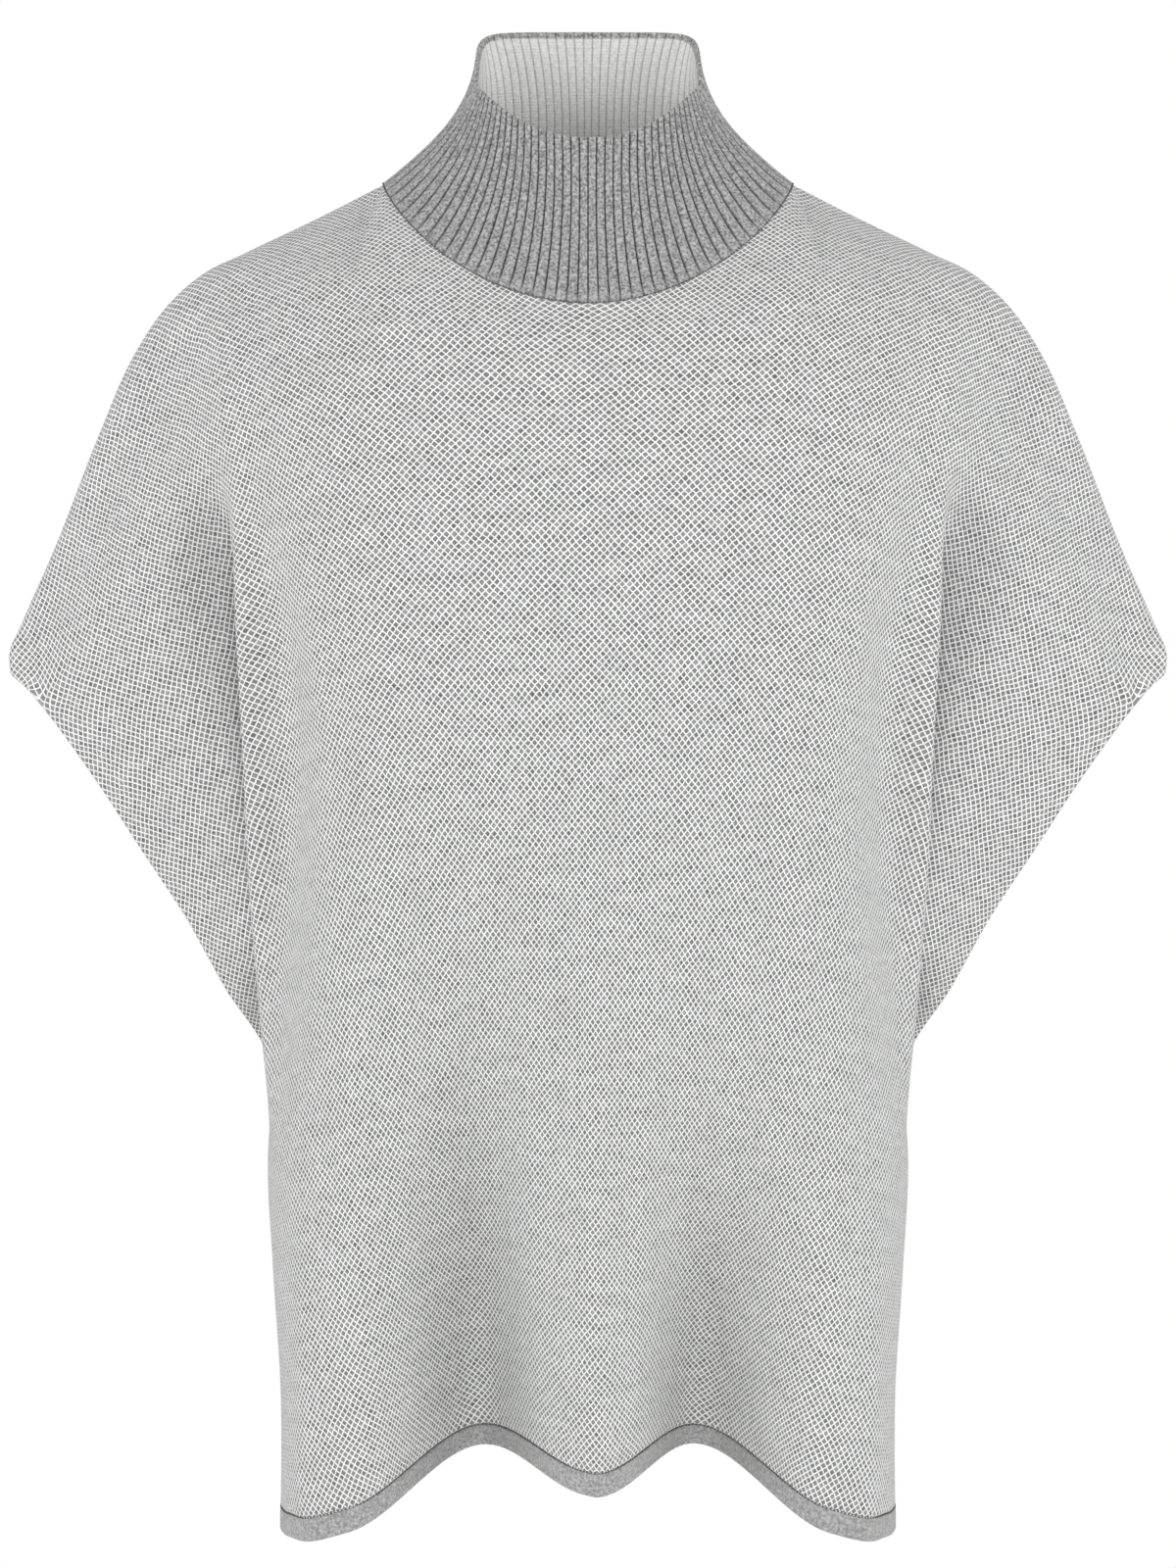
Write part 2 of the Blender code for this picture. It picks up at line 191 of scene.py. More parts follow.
def collar_loop(loop, angle):
    """Points of one collar loop. Angle 0 is the front, a quarter turn the right side, half the back."""
    c, s = np.cos(angle), np.sin(angle)
    ahead = c >= 0
    power = np.where(ahead, loop["front_power"], loop["back_power"])
    reach = np.where(ahead, loop["front"], loop["back"])
    end_z = np.where(ahead, loop["z_front"], loop["z_back"])
    x = loop["half_width"] * np.sign(s) * np.abs(s) ** (2 / power)
    y = -reach * np.sign(c) * np.abs(c) ** (2 / power)
    drop = np.where(ahead, loop["front_drop"], loop["back_drop"])
    z = loop["z_side"] + (end_z - loop["z_side"]) * np.abs(c) ** (2 / power * drop)
    return np.stack([x, y, z], axis=-1) * MM


def top_row(at, side):
    """The half panel's top edge: neckline, then ridge."""
    quarter = np.clip(at / NECK_AT, 0, 1) * np.pi / 2
    neck = collar_loop(LOOPS[0], quarter if side < 0 else np.pi - quarter)
    line = np.stack([RIDGE[:, 0], 0 * RIDGE[:, 0], RIDGE[:, 1]], axis=-1) * MM
    knots = lengths_along(line)
    fine = np.linspace(0, knots[-1], 2000)
    curve = curve_through(knots, line, fine)
    met = np.interp(np.array(RIDGE_X) * MM, np.maximum.accumulate(curve[:, 0]), fine)
    met[-1] = knots[-1]
    length = np.interp(at, RIDGE_AT, met)
    return np.where((at < NECK_AT)[:, None], neck, curve_through(knots, line, length))


def section_row(level, at, side):
    """One section of a half panel, from its centre line to its edge, before the flutes."""
    row = SECTIONS[level]
    z_mid, z_crest, z_fold, tuck_x = row["z_mid"], row["z_crest"], row["z_fold"], row["tuck_x"]
    if side > 0:
        z_mid += BACK_RISE * (1 - level / LOWER_EDGE)
        if level == LOWER_EDGE:
            z_mid, z_crest, z_fold = BACK_HEM_Z
        tuck_x += (1 - BACK_FOLD) * max((row["fold_x"] + row["edge_x"]) / 2 - tuck_x, 0.0)
    mid = np.array((0.0, row["mid_y"], z_mid))
    crest = np.array((row["crest_x"], row["crest_y"], z_crest))
    chest = mid + np.array(CHEST_AT) * (crest - mid)
    foot = (row["foot_x"], row["foot_y"], (z_crest + z_fold) / 2)
    fold = (row["fold_x"], row["fold_y"], z_fold)
    tuck = np.array((tuck_x, row["tuck_y"], z_fold + TUCK_DROP * (row["z_edge"] - z_fold)))
    edge = np.array((row["edge_x"], row["edge_y"], row["z_edge"]))
    bowed = min((level + 1) / 3, 1.0) if level < UNDERARM else 0.0
    wing = [tuck + share * (edge - tuck) - (0, bowed * bow, 0) for share, bow in zip(WING_AT, WING_BOW)]
    points = np.array([mid, chest, crest, foot, fold, tuck, *wing, edge])
    if side > 0:
        points[:, 1] *= -BACK_DEPTH
    return curve_through(FEATURES_AT, points, at)


def rolled_over(column, knots, across, side):
    """The column with a point added just past the ridge, so that the cloth rolls over it."""
    fall = column[1] - column[0]
    length = np.linalg.norm(fall)
    roll = min(ROLL_SHARE * length, MOST_ROLL)
    past_corner = min((across - NECK_AT) / ROLL_FROM_CORNER, 1)
    way = (1 - past_corner + ROLL_FALL) * fall / length + past_corner * np.array((0, side, 0))
    over = column[0] + roll * way / np.linalg.norm(way)
    return np.concatenate([column[:1], [over], column[1:]]), np.concatenate([knots[:1], [roll], knots[1:]])


def half_panel(at, places, side):
    """Middle points [row, column] of a half panel, without flutes and creases."""
    levels = [top_row(at, side)]
    levels += [section_row(level, at, side) for level in range(len(SECTIONS))]
    levels = np.array(levels)
    half = np.empty((len(places), len(at), 3))
    for j, across in enumerate(at):
        column = levels[:, j]
        knots = lengths_along(column)
        along = np.interp(places, np.arange(len(knots)), knots)
        if across >= NECK_AT:
            column, knots = rolled_over(column, knots, across, side)
        half[:, j] = curve_through(knots, column, along)
    return half


def fluted(points, side):
    """The points with the skirt's hollows pressed in."""
    points = points.copy()
    bottom = SECTIONS[-1]["z_mid"]
    for flute in FLUTES:
        if flute["side"] != side:
            continue
        top = flute["top_z"] * MM
        down = np.maximum((top - points[..., 2]) / (top - bottom), 0)
        away = points[..., 0] - flute["x"] * MM
        reach = np.where(away < 0, flute["reach_left"], flute["reach_right"]) * MM
        share = np.minimum(np.abs(away) / reach, 1)
        hollow = (0.5 + 0.5 * np.cos(np.pi * share)) * down**FLUTE_GROWTH
        points[..., 1] -= side * flute["depth"] * MM * hollow
        points[..., 2] += flute["lift"] * MM * hollow
    return points


def grid_normals(grid, side):
    normals = side * np.cross(np.gradient(grid, axis=1), np.gradient(grid, axis=0))
    return normals / np.linalg.norm(normals, axis=-1, keepdims=True)


def creased(points, side):
    """The points with each crease pressed in along the cloth's normals, faded out at its ends."""
    normals = grid_normals(points, side)
    press = np.zeros(points.shape[:2])
    for crease in CREASES:
        if crease["side"] != side:
            continue
        start = np.array((crease["x0"], crease["z0"])) * MM
        way = np.array((crease["x1"], crease["z1"])) * MM - start
        place = points[..., (0, 2)] - start
        along = (place @ way) / (way @ way)
        bend = 3 * MM * np.sin(2 * np.pi * along + crease["x0"])
        off = (place[..., 0] * way[1] - place[..., 1] * way[0]) / np.linalg.norm(way) - bend
        ends = np.sin(np.pi * np.clip(along, 0, 1)) ** 1.3
        press += crease["depth"] * MM * np.exp(-((off / (crease["width"] * MM)) ** 2)) * ends
    return points - normals * press[..., None]


# How the cut is laid flat: limits of a side's stiffness, the weight of the lines that are held, the rounds
# of fitting, and the rows at the wing's tip that follow no wale, so that its corner lies unstrained.
LEAST_STIFFNESS, MOST_STIFFNESS = 0.05, 20
HOLD, FLATTEN_ROUNDS, FREE_ROWS = 50.0, 60, 4


def flattened(grid, sewn_row, turn):
    """The cut of a half panel laid flat, [row, column, (u, v)]: u across from the centre line, v up.

    Each triangle is turned rigidly and the cloth fitted to the turned ones, again and again. The
    centre line stays straight, the wing's edge follows one wale and the lower edge one course. Last,
    each triangle is turned by the angle that its wales lean outwards beyond that.
    """
    rows, columns = grid.shape[:2]
    count = rows * columns
    index = np.arange(count).reshape(rows, columns)
    a, b, c, d = index[:-1, :-1], index[1:, :-1], index[1:, 1:], index[:-1, 1:]
    triangles = np.concatenate([np.stack(three, -1).reshape(-1, 3) for three in ((a, b, c), (a, c, d))])
    points = grid.reshape(-1, 3)
    p0, p1, p2 = (points[triangles[:, k]] for k in range(3))
    base = np.maximum(np.linalg.norm(p1 - p0, axis=1), 1e-7)
    along = ((p2 - p0) * (p1 - p0)).sum(1) / base
    height = np.linalg.norm(np.cross(p1 - p0, p2 - p0), axis=1) / base
    zero = np.zeros_like(base)
    corners = ((zero, zero), (base, zero), (along, height))
    local = np.stack([np.stack(corner, -1) for corner in corners], 1)
    # The stiffness of each side is the cotangent of the angle that faces it.
    stiffness = np.empty((len(triangles), 3))
    for k in range(3):
        to_one = local[:, k] - local[:, (k + 2) % 3]
        to_two = local[:, (k + 1) % 3] - local[:, (k + 2) % 3]
        turned_area = np.abs(to_one[:, 0] * to_two[:, 1] - to_one[:, 1] * to_two[:, 0])
        cotangent = (to_one * to_two).sum(1) / np.maximum(turned_area, 1e-12)
        stiffness[:, k] = np.clip(cotangent, LEAST_STIFFNESS, MOST_STIFFNESS)
    system = np.zeros((count, count))
    for k in range(3):
        i, j = triangles[:, k], triangles[:, (k + 1) % 3]
        for one, two in ((i, j), (j, i)):
            np.add.at(system, (one, one), stiffness[:, k])
            np.add.at(system, (one, two), -stiffness[:, k])
    systems = [system.copy(), system.copy()]
    systems[0][index[:, 0], index[:, 0]] += HOLD
    systems[1][index[0, 0], index[0, 0]] += HOLD
    for which, line in ((0, index[FREE_ROWS : sewn_row + 1, -1]), (1, index[-1])):
        for i, j in zip(line[:-1], line[1:]):
            systems[which][i, i] += HOLD
            systems[which][j, j] += HOLD
            systems[which][i, j] -= HOLD
            systems[which][j, i] -= HOLD
    inverses = [np.linalg.inv(system) for system in systems]
    down = np.broadcast_to(lengths_along(grid[:, 0])[:, None], (rows, columns))
    flat = np.stack([lengths_along(grid), -down], -1).reshape(-1, 2)
    lean = turn.reshape(-1)[triangles].mean(1)
    for last in [False] * FLATTEN_ROUNDS + [True]:
        turn_cos, turn_sin = zero.copy(), zero.copy()
        for k in range(3):
            j = (k + 1) % 3
            edge = local[:, j] - local[:, k]
            laid = flat[triangles[:, j]] - flat[triangles[:, k]]
            turn_cos += stiffness[:, k] * (edge * laid).sum(1)
            turn_sin += stiffness[:, k] * (edge[:, 0] * laid[:, 1] - edge[:, 1] * laid[:, 0])
        angle = np.arctan2(turn_sin, turn_cos) + (lean if last else 0)
        turn_cos, turn_sin = np.cos(angle), np.sin(angle)
        pull = np.zeros((count, 2))
        for k in range(3):
            j = (k + 1) % 3
            x, y = ((local[:, j] - local[:, k]) * stiffness[:, k, None]).T
            turned = np.stack([turn_cos * x - turn_sin * y, turn_sin * x + turn_cos * y], -1)
            np.add.at(pull, triangles[:, j], turned)
            np.add.at(pull, triangles[:, k], -turned)
        flat = np.stack([inverses[k] @ pull[:, k] for k in range(2)], -1)
    return flat.reshape(rows, columns, 2)


def rounded(distance, radius):
    """Share of the wall's thickness at a distance from its edge, for a round edge."""
    return np.sqrt(np.clip(1 - (1 - np.minimum(distance / radius, 1)) ** 2, 0.03, 1))


def wall_mesh(name, middle, normals, outer, inner, cut, closed=False):
    """A closed wall about a grid of middle points, with outer and inner offsets, and its cut as UV map."""
    rows, columns = middle.shape[:2]
    count = rows * columns
    faces_of_wall = middle + normals * outer[..., None], middle - normals * inner[..., None]
    points = np.concatenate([face.reshape(-1, 3) for face in faces_of_wall])
    last = columns if closed else columns - 1
    i, j = np.meshgrid(np.arange(rows - 1), np.arange(last), indexing="ij")
    i, j = i.ravel(), j.ravel()
    quads = [[(i, j), (i + 1, j), (i + 1, j + 1), (i, j + 1)]]
    layers = [(0, 0, 0, 0)]
    quads.append([(i, j), (i, j + 1), (i + 1, j + 1), (i + 1, j)])
    layers.append((1, 1, 1, 1))
    k = np.arange(last)
    top, low = np.zeros_like(k), np.full_like(k, rows - 1)
    quads.append([(top, k), (top, k + 1), (top, k + 1), (top, k)])
    layers.append((0, 0, 1, 1))
    quads.append([(low, k + 1), (low, k), (low, k), (low, k + 1)])
    layers.append((0, 0, 1, 1))
    if not closed:
        k = np.arange(rows - 1)
        left, right = np.zeros_like(k), np.full_like(k, columns - 1)
        quads.append([(k + 1, left), (k, left), (k, left), (k + 1, left)])
        layers.append((0, 0, 1, 1))
        quads.append([(k, right), (k + 1, right), (k + 1, right), (k, right)])
        layers.append((0, 0, 1, 1))
    faces, places = [], []
    for corners, layer in zip(quads, layers):
        indices = [r * columns + c % columns + count * l for (r, c), l in zip(corners, layer)]
        faces.append(np.stack(indices, -1))
        places.append(np.stack([cut[r, c] for r, c in corners], 1))
    faces, places = np.concatenate(faces), np.concatenate(places)
    mesh = bpy.data.meshes.new(name)
    mesh.from_pydata(points.tolist(), [], faces.tolist())
    mesh.uv_layers.new(name="cut").data.foreach_set("uv", places.reshape(-1).astype(np.float32))
    mesh.calc_loop_triangles()
    corners = points[np.array([t.vertices[:] for t in mesh.loop_triangles])]
    if np.einsum("ij,ij->", corners[:, 0], np.cross(corners[:, 1], corners[:, 2])) < 0:
        mesh.flip_normals()
    mesh.shade_smooth()
    mesh.update()
    return mesh


def add_piece(name, mesh, material, replaced):
    """The piece in the scene, riding on the one body in place of its CAD solids."""
    mesh.materials.clear()
    mesh.materials.append(material)
    piece = bpy.data.objects.new(name, mesh)
    bpy.context.scene.collection.objects.link(piece)
    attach(piece, "root")
    if replaced:
        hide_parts(*replaced)
    return piece


def linear(hex_colour):
    """An sRGB hex colour as linear RGBA."""
    parts = [int(hex_colour[k : k + 2], 16) / 255 for k in (1, 3, 5)]
    return (*(p / 12.92 if p <= 0.04045 else ((p + 0.055) / 1.055) ** 2.4 for p in parts), 1.0)


def add_node(tree, kind, inputs=(), **settings):
    """A node with its settings, and its inputs set to values or linked to other nodes' outputs."""
    node = tree.nodes.new(kind)
    for setting, value in settings.items():
        setattr(node, setting, value)
    for socket, value in dict(inputs).items():
        if isinstance(value, bpy.types.NodeSocket):
            tree.links.new(value, node.inputs[socket])
        else:
            node.inputs[socket].default_value = value
    return node


def yarn_material(name):
    """A material for wool yarn: rough, with the soft sheen of its fibre ends."""
    material = bpy.data.materials.new(name)
    material.use_nodes = True
    shader = material.node_tree.nodes["Principled BSDF"]
    shader.inputs["Roughness"].default_value = 0.9
    shader.inputs["IOR"].default_value = 1.45
    shader.inputs["Specular IOR Level"].default_value = 0.25
    shader.inputs["Sheen Weight"].default_value = 0.35
    shader.inputs["Sheen Roughness"].default_value = 0.5
    return material, material.node_tree, shader


# Birdseye jersey of off-white and grey-marl wool: the off-white floats into a lattice of diagonals round
# marl lozenges, two wales wide. Matt, with a soft halo of fibre, and slightly uneven from loop to loop.
LOZENGE_WIDTH, LOZENGE_HEIGHT = 3.3 * MM, 4.0 * MM
UNEVENNESS = ((60.0, 2 * MM), (420.0, 0.7 * MM))  # noise scale and reach: of whole courses, of single loops
birdseye, tree, shader = yarn_material("birdseye_wool_jersey")
cut_map = add_node(tree, "ShaderNodeUVMap", uv_map="cut").outputs["UV"]
place = cut_map
for scale, reach in UNEVENNESS:
    noise = add_node(tree, "ShaderNodeTexNoise", {"Vector": cut_map, "Scale": scale, "Detail": 1.0})
    off = {0: noise.outputs["Color"], 1: (-0.5, -0.5, 0)}
    off = add_node(tree, "ShaderNodeVectorMath", off, operation="ADD").outputs[0]
    off = {0: off, 1: (reach, reach, 0)}
    off = add_node(tree, "ShaderNodeVectorMath", off, operation="MULTIPLY").outputs[0]
    place = add_node(tree, "ShaderNodeVectorMath", {0: place, 1: off}, operation="ADD").outputs[0]
place = add_node(tree, "ShaderNodeSeparateXYZ", {0: place}).outputs
across = add_node(tree, "ShaderNodeMath", {0: place["X"], 1: LOZENGE_WIDTH}, operation="DIVIDE").outputs[0]
up = add_node(tree, "ShaderNodeMath", {0: place["Y"], 1: LOZENGE_HEIGHT}, operation="DIVIDE").outputs[0]
diagonals = []
for way in ("ADD", "SUBTRACT"):
    slant = add_node(tree, "ShaderNodeMath", {0: across, 1: up}, operation=way).outputs[0]
    slant = add_node(tree, "ShaderNodeMath", {0: slant, 1: 0.5}, operation="PINGPONG").outputs[0]
    diagonals.append(slant)
to_lattice = add_node(tree, "ShaderNodeMath", dict(enumerate(diagonals)), operation="MINIMUM").outputs[0]
fibre = add_node(tree, "ShaderNodeTexNoise", {"Vector": cut_map, "Scale": 1500.0, "Detail": 2.0}).outputs[0]
marl = add_node(tree, "ShaderNodeTexNoise", {"Vector": cut_map, "Scale": 260.0, "Detail": 3.0}).outputs[0]
course_way = add_node(tree, "ShaderNodeMapping", {"Vector": cut_map, "Scale": (1, 3.5, 1)}).outputs[0]
cloud = add_node(tree, "ShaderNodeTexNoise", {"Vector": course_way, "Scale": 38.0, "Detail": 4.0}).outputs[0]
marl = add_node(tree, "ShaderNodeMath", {0: marl, 1: 0.75, 2: 0.025}, operation="MULTIPLY_ADD").outputs[0]
marl = add_node(tree, "ShaderNodeMath", {0: cloud, 1: 0.2, 2: marl}, operation="MULTIPLY_ADD").outputs[0]
ragged = add_node(tree, "ShaderNodeMath", {0: to_lattice, 1: 0.06}, operation="SUBTRACT").outputs[0]
ragged = add_node(tree, "ShaderNodeMath", {0: fibre, 1: 0.12, 2: ragged}, operation="MULTIPLY_ADD").outputs[0]
lozenge = add_node(
    tree,
    "ShaderNodeMapRange",
    {"Value": ragged, "From Min": 0.085, "From Max": 0.165},
    interpolation_type="SMOOTHSTEP",
).outputs[0]
marl_colour = add_node(tree, "ShaderNodeValToRGB", {0: marl})
light_colour = add_node(tree, "ShaderNodeValToRGB", {0: cloud})
for ramp, ends in (
    (marl_colour, ((0.34, "#636363"), (0.66, "#a3a3a3"))),
    (light_colour, ((0.35, "#f3f3f3"), (0.62, "#fafafa"))),
):
    for element, (position, colour) in zip(ramp.color_ramp.elements, ends):
        element.position = position
        element.color = linear(colour)
yarns = add_node(
    tree,
    "ShaderNodeMix",
    {"Factor": lozenge, 6: light_colour.outputs[0], 7: marl_colour.outputs[0]},
    data_type="RGBA",
)
tree.links.new(yarns.outputs[2], shader.inputs["Base Color"])
height = add_node(tree, "ShaderNodeMath", {0: 1.0, 1: lozenge}, operation="SUBTRACT").outputs[0]
height = add_node(tree, "ShaderNodeMath", {0: fibre, 1: 0.35, 2: height}, operation="MULTIPLY_ADD").outputs[0]
bump = add_node(tree, "ShaderNodeBump", {"Height": height, "Distance": 0.5 * MM, "Strength": 0.8})
tree.links.new(bump.outputs[0], shader.inputs["Normal"])

# How far the wales lean outwards over shoulder and wing: degrees at places across, and the share of
# them at levels down.
LEAN_ACROSS = ((0.2, 0.38, 0.6, 1.0), (0.0, 12.0, 16.0, 14.0))
LEAN_DOWN = ((0, 6, 7.5, 9), (1.0, 1.0, 0.5, 0.0))
COARSE_NECK, COARSE_SIDE, COARSE_ROWS = 6, 21, 3  # columns of neck and side, and rows per span, of the cut
NECK_COLUMNS, SIDE_COLUMNS, ROWS_PER_SPAN = 34, 84, 11
PANEL_EDGE = 1.0 * MM  # radius of a panel's round edges
panel_edges = {}
for place_name, side in (("front", -1), ("back", 1)):
    # The cut, worked out on a coarse grid and read on the fine one.
    coarse_at = np.concatenate(
        [np.linspace(0, NECK_AT, COARSE_NECK, endpoint=False), np.linspace(NECK_AT, 1, COARSE_SIDE)]
    )
    coarse_at = np.insert(coarse_at, -1, 0.988)
    coarse_places = np.linspace(0, len(SECTIONS), COARSE_ROWS * len(SECTIONS) + 1)
    coarse = fluted(half_panel(coarse_at, coarse_places, side), side)
    lean = np.outer(np.interp(coarse_places, *LEAN_DOWN), np.interp(coarse_at, *LEAN_ACROSS))
    half_cut = flattened(coarse, COARSE_ROWS * (UNDERARM + 1), np.radians(lean))
    at = np.concatenate(
        [
            np.linspace(0, NECK_AT, NECK_COLUMNS, endpoint=False),
            np.linspace(NECK_AT, 1, SIDE_COLUMNS, endpoint=False)[:-1],
            [0.9935, 0.9975, 1.0],
        ]
    )
    places = np.linspace(0, len(SECTIONS), ROWS_PER_SPAN * len(SECTIONS) + 1)
    places = np.concatenate([[0, 0.005, 0.02], places[1:-1], [len(SECTIONS) - 0.015, len(SECTIONS)]])
    half = half_panel(at, places, side)
    middle = np.concatenate([half[:, :0:-1] * (-1, 1, 1), half], axis=1)
    middle = creased(fluted(middle, side), side)
    fine_cut = curve_through(coarse_places, half_cut, places).reshape(len(places), len(coarse_at), 2)
    fine_cut = curve_through(coarse_at, fine_cut.transpose(1, 0, 2), at).reshape(len(at), len(places), 2)
    fine_cut = fine_cut.transpose(1, 0, 2)
    cut = np.concatenate([fine_cut[:, :0:-1] * (-1, 1), fine_cut], axis=1)
    normals = grid_normals(middle, side)
    sewn = np.searchsorted(places, UNDERARM + 1)
    normals[sewn:, (0, -1), 1] = 0
    past_neck = np.abs(middle[0, :, 0]) - (LOOPS[0]["half_width"] - 1) * MM
    normals[0, :, 1] *= np.clip(1 - past_neck / MM, 0, 1)
    normals /= np.linalg.norm(normals, axis=-1, keepdims=True)
    across_lengths, down_lengths = lengths_along(middle), lengths_along(middle.transpose(1, 0, 2)).T
    to_side = np.minimum(across_lengths, across_lengths[:, -1:] - across_lengths)
    to_end = np.minimum(down_lengths, down_lengths[-1:] - down_lengths)
    half_wall = PANEL_WALL / 2 * np.minimum(rounded(to_side, PANEL_EDGE), rounded(to_end, PANEL_EDGE))
    mesh = wall_mesh(place_name + "_cloth", middle, normals, half_wall, half_wall, cut)
    cloth = add_piece(place_name + "_cloth", mesh, birdseye, [place_name + "_panel"])
    panel_edges[side] = middle, normals

# ---------------------------------------------------------------------------------------------------
# Funnel collar: a tube of thick two-by-two rib in mid-grey marl wool, linked to the neckline stitch by
# stitch. It stands up by its own stiffness; the ribs spread where it widens to the shoulders.
# ---------------------------------------------------------------------------------------------------
COLLAR_WALL = 3.0 * MM
RIBS, POINTS_PER_RIB, COLLAR_ROWS = 92, 10, 34
GROOVE, INNER_GROOVE = 1.25 * MM, 0.5 * MM  # their depths outside and inside
GROOVE_RISE = 9 * MM  # the grooves run out over this much above the linking
COLLAR_EDGE = 1.4 * MM
LOOP_HEIGHT = 1.7 * MM
RIM_TURN = 3.5 * MM  # how far the marl yarn turns over the rim before the pale inner face begins
RIB_SPREAD = (0.28, 0.30, -0.08)  # how much closer than even the ribs stand at each loop's centre
quarters = np.arange(RIBS * POINTS_PER_RIB + 1) / (RIBS * POINTS_PER_RIB) * 4
quarter = np.minimum(quarters.astype(int), 3)
from_centre = np.where(quarter % 2 == 0, quarters - quarter, quarter + 1 - quarters)
collar_points = []
for loop, spread in zip(LOOPS, RIB_SPREAD):
    step = np.linspace(0, 1, 4000)
    fine_angle = np.pi / 2 * step**4 / (step**4 + (1 - step) ** 4)
    share = from_centre * (1 - spread + spread * from_centre)
    turned = []
    for half_turn in (0, np.pi):
        arc = lengths_along(collar_loop(loop, half_turn + fine_angle * (1 if half_turn == 0 else -1)))
        turned.append(np.interp(share * arc[-1], arc, fine_angle))
    angle = np.choose(quarter, [turned[0], np.pi - turned[1], np.pi + turned[1], 2 * np.pi - turned[0]])
    collar_points.append(collar_loop(loop, angle)[:-1])
t = np.concatenate([[0, 0.004, 0.012], np.linspace(0, 1, COLLAR_ROWS)[1:-1], [0.988, 0.994, 0.998, 1]])
t = t[:, None, None]
base, pull, rim = collar_points
middle = (1 - t) ** 2 * base + 2 * t * (1 - t) * pull + t**2 * rim
across = np.roll(middle, -1, axis=1) - np.roll(middle, 1, axis=1)
up_wall = np.gradient(middle, axis=0)
normals = np.cross(across, up_wall)
normals /= np.linalg.norm(normals, axis=-1, keepdims=True)
up_lengths = lengths_along(middle.transpose(1, 0, 2)).T
to_end = np.minimum(up_lengths, up_lengths[-1:] - up_lengths)
phase = quarters[:-1] / 4 * RIBS * np.pi
outer_rib, inner_rib = np.abs(np.sin(phase)) ** 0.5, np.abs(np.cos(phase)) ** 0.5
edge_share = rounded(to_end, COLLAR_EDGE)
risen = np.clip(up_lengths / GROOVE_RISE, 0, 1)
depth_share = 0.25 + 0.75 * risen * risen * (3 - 2 * risen)
outer = (COLLAR_WALL / 2 - GROOVE * depth_share * (1 - outer_rib)) * edge_share
inner = (COLLAR_WALL / 2 - INNER_GROOVE * depth_share * (1 - inner_rib)) * edge_share
rib_count = np.broadcast_to(quarters / 4 * RIBS, (len(t), len(quarters)))
wall_height = np.concatenate([up_lengths, up_lengths[:, :1]], axis=1)

# Marl wool in rib: grey fibres of several tones spun together, so that the yarn is flecked, with painted
# shade darkening the grooves, and a loop every 1.7 mm along each wale. The inner face is plated in a pale
# yarn.
rib_wool, tree, shader = yarn_material("rib_marl_wool")
cut_map = add_node(tree, "ShaderNodeUVMap", uv_map="cut").outputs["UV"]
place = add_node(tree, "ShaderNodeSeparateXYZ", {0: cut_map}).outputs
solid_place = add_node(tree, "ShaderNodeTexCoord").outputs["Object"]
fleck = {"Vector": solid_place, "Scale": 700.0, "Detail": 3.0}
fleck = add_node(tree, "ShaderNodeTexNoise", fleck).outputs[0]
marl_fleck = add_node(tree, "ShaderNodeValToRGB", {0: fleck})
pale_fleck = add_node(tree, "ShaderNodeValToRGB", {0: fleck})
for ramp, ends in (
    (marl_fleck, ((0.33, "#6a6a6a"), (0.67, "#c0c0c0"))),
    (pale_fleck, ((0.33, "#d2d2d1"), (0.67, "#e8e8e7"))),
):
    for element, (position, colour) in zip(ramp.color_ramp.elements, ends):
        element.position = position
        element.color = linear(colour)
inside = add_node(tree, "ShaderNodeAttribute", attribute_name="inside").outputs["Fac"]
# Painted shade: the yarn's colour is darkened in each rib groove, more strongly on the outer face once the
# grooves rise clear of the linking.
in_rib = add_node(tree, "ShaderNodeMath", {0: place["X"], 1: 0.5}, operation="PINGPONG").outputs[0]
shifted = add_node(tree, "ShaderNodeMath", {0: place["X"], 1: 0.5}, operation="ADD").outputs[0]
shifted = add_node(tree, "ShaderNodeMath", {0: shifted, 1: 0.5}, operation="PINGPONG").outputs[0]
off_groove = add_node(tree, "ShaderNodeMix", {0: inside, 2: in_rib, 3: shifted}, data_type="FLOAT").outputs[0]
groove_painted_shade = add_node(
    tree,
    "ShaderNodeMapRange",
    {"Value": off_groove, "From Min": 0.0, "From Max": 0.17},
    interpolation_type="SMOOTHSTEP",
).outputs[0]
run_out = add_node(
    tree, "ShaderNodeMapRange", {"Value": place["Y"], "From Max": GROOVE_RISE, "To Min": 0.6, "To Max": 0.14}
).outputs[0]
least = add_node(tree, "ShaderNodeMix", {0: inside, 2: run_out, 3: 0.6}, data_type="FLOAT").outputs[0]
groove_painted_shade = add_node(tree, "ShaderNodeMapRange", {"Value": groove_painted_shade, "To Min": least}).outputs[0]
to_rim = add_node(tree, "ShaderNodeAttribute", attribute_name="to_rim").outputs["Fac"]
below_rim = add_node(
    tree,
    "ShaderNodeMapRange",
    {"Value": to_rim, "From Min": RIM_TURN - 0.5 * MM, "From Max": RIM_TURN + 0.5 * MM},
).outputs[0]
faced = add_node(tree, "ShaderNodeMath", {0: inside, 1: below_rim}, operation="MULTIPLY").outputs[0]
yarn = add_node(
    tree, "ShaderNodeMix", {0: faced, 6: marl_fleck.outputs[0], 7: pale_fleck.outputs[0]}, data_type="RGBA"
).outputs[2]
# The painted groove shade multiplies the yarn's colour.
shade = add_node(
    tree, "ShaderNodeMix", {"Factor": 1.0, 6: yarn, 7: groove_painted_shade}, data_type="RGBA", blend_type="MULTIPLY"
)
tree.links.new(shade.outputs[2], shader.inputs["Base Color"])
turns = {0: place["Y"], 1: 2 * np.pi / LOOP_HEIGHT}
loops = add_node(tree, "ShaderNodeMath", turns, operation="MULTIPLY").outputs[0]
loops = add_node(tree, "ShaderNodeMath", {0: loops}, operation="SINE").outputs[0]
loops = add_node(tree, "ShaderNodeMath", {0: loops, 1: 0.25}, operation="MULTIPLY").outputs[0]
